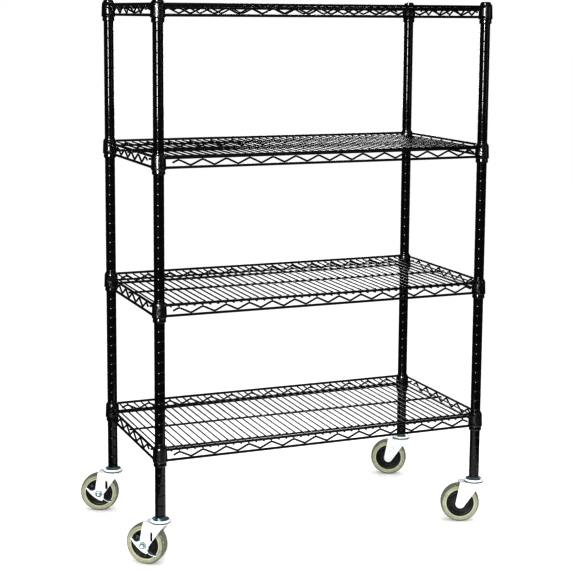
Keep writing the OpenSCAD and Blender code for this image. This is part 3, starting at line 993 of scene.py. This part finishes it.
for corner in CORNERS:
    make_post(corner)
    make_stem(corner)
    make_fork(corner)
    make_axle(corner)
    make_hub(corner)
    make_tread(corner)
    balls = frame["nodes"][f"caster_{corner}_balls"]
    balls.data.materials.clear()
    balls.data.materials.append(STEEL_AND_SHADE)
for corner in BRAKED:
    make_lever(corner)
    make_cam(corner)
    make_washer(corner)
make_caps()
for level in LEVELS:
    make_collars(level)
    make_sleeves(level)
    make_rim_rods(level)
    make_snake_wires(level)
    make_deck(level)


# ---------------------------------------------------------------------------------------------
# Floor, light and camera
# ---------------------------------------------------------------------------------------------
def make_floor(name, material, start, sweep, inner, outer, seen_in_gloss, z=0.0):
    """A ring or sector of pale floor, with its angles in degrees."""
    sector = lathe([(outer, z), (inner, z)], 48, math.radians(start), math.radians(sweep))
    obj = mesh_object(name, *sector)
    obj.data.materials.append(material)
    obj.visible_glossy = seen_in_gloss


def floor_material(name, tone, glow):
    """Pale matt paper. A little glow near the casters keeps their contact shadows soft."""
    s = Surface(name, Specular_IOR_Level=0.0, Roughness=1.0, Emission_Color=(1, 1, 1, 1),
                Emission_Strength=glow)
    s.colour(s.ramp(s.noise(2.0), (0.3, (tone - 0.004,) * 3), (0.7, (tone + 0.004,) * 3)))
    return s.material


FLOOR = floor_material("pale_floor", 0.87, 0.0)
LIT_FLOOR = floor_material("lit_floor", 0.94, 0.14)
HEART = 0.02
NEAR = 1.0
FAR = 60

# Only the near front floor shows in the posts' and casters' reflections.
make_floor("floor_front", LIT_FLOOR, 200, 140, HEART, NEAR, True)
make_floor("floor_rear", LIT_FLOOR, -20, 220, HEART, NEAR, False)
make_floor("floor_middle", LIT_FLOOR, 0, 360, 0, HEART, False)
make_floor("floor_far", FLOOR, 0, 360, NEAR - 0.05, FAR, False, -0.3 * MM)


def soft_box(name, place, aim, size, power, lights_matt=True, spread=180):
    """A rectangular studio light that faces a point, or only shows in reflections."""
    data = bpy.data.lights.new(name, "AREA")
    data.shape = "RECTANGLE"
    data.size, data.size_y = size
    data.energy = power
    data.spread = math.radians(spread)
    obj = bpy.data.objects.new(name, data)
    obj.location = place
    obj.rotation_euler = (Vector(aim) - Vector(place)).to_track_quat("-Z", "Y").to_euler()
    obj.visible_camera = False
    obj.visible_diffuse = lights_matt
    bpy.context.scene.collection.objects.link(obj)


soft_box("key", (-2.7, -3.3, 1.75), (0, 0, 1.2), (0.8, 1.9), 40, False, 75)
soft_box("wash", (-2.3, -3.3, 1.9), (0, 0, 0.4), (1.6, 1.2), 45)
soft_box("fill", (2.9, -2.9, 1.5), (0, 0, 0.8), (0.3, 1.4), 7)
soft_box("back", (1.6, 3.6, 1.7), (0, 0, 0.8), (0.9, 1.8), 40, False)
soft_box("top", (0.2, -0.4, 3.4), (0, 0, 0.6), (1.8, 1.4), 20)


def make_world():
    """White where the camera sees it and for matt surfaces, and darker in reflections."""
    world = bpy.data.worlds.new("studio")
    bpy.context.scene.world = world
    world.use_nodes = True
    nodes = world.node_tree.nodes
    links = world.node_tree.links
    path = nodes.new("ShaderNodeLightPath")
    for_matt, for_gloss, for_camera = (1.15, 1.15, 1.15, 1), (0.045, 0.045, 0.05, 1), (1, 1, 1, 1)
    level = None
    for ray, shade in (("Is Glossy Ray", for_gloss), ("Is Camera Ray", for_camera)):
        mix = nodes.new("ShaderNodeMix")
        mix.data_type = "RGBA"
        links.new(path.outputs[ray], mix.inputs["Factor"])
        if level:
            links.new(level, mix.inputs["A"])
        else:
            mix.inputs["A"].default_value = for_matt
        mix.inputs["B"].default_value = shade
        level = mix.outputs["Result"]
    links.new(level, nodes["Background"].inputs["Color"])
    nodes["Background"].inputs["Strength"].default_value = 1.0


make_world()


def make_camera():
    """The camera stands in front, to the left, a little above the top shelf."""
    place = (-1.4532, -3.4849, 1.3399)
    yaw, pitch, roll = (math.radians(a) for a in (22.345, -7.917, 0.397))
    ahead = Vector((math.sin(yaw) * math.cos(pitch), math.cos(yaw) * math.cos(pitch), math.sin(pitch)))
    right = Vector((math.cos(yaw), -math.sin(yaw), 0))
    up = right.cross(ahead)
    level_right = right * math.cos(roll) + up * math.sin(roll)
    level_up = up * math.cos(roll) - right * math.sin(roll)
    data = bpy.data.cameras.new("camera")
    data.sensor_width = 36
    data.lens = 91.44
    data.shift_y = -0.1248
    obj = bpy.data.objects.new("camera", data)
    turn = Matrix((level_right, level_up, -ahead)).transposed().to_4x4()
    obj.matrix_world = Matrix.Translation(place) @ turn
    bpy.context.scene.collection.objects.link(obj)
    bpy.context.scene.camera = obj


make_camera()
bpy.context.scene.view_settings.view_transform = "Standard"
bpy.context.scene.view_settings.gamma = 0.70
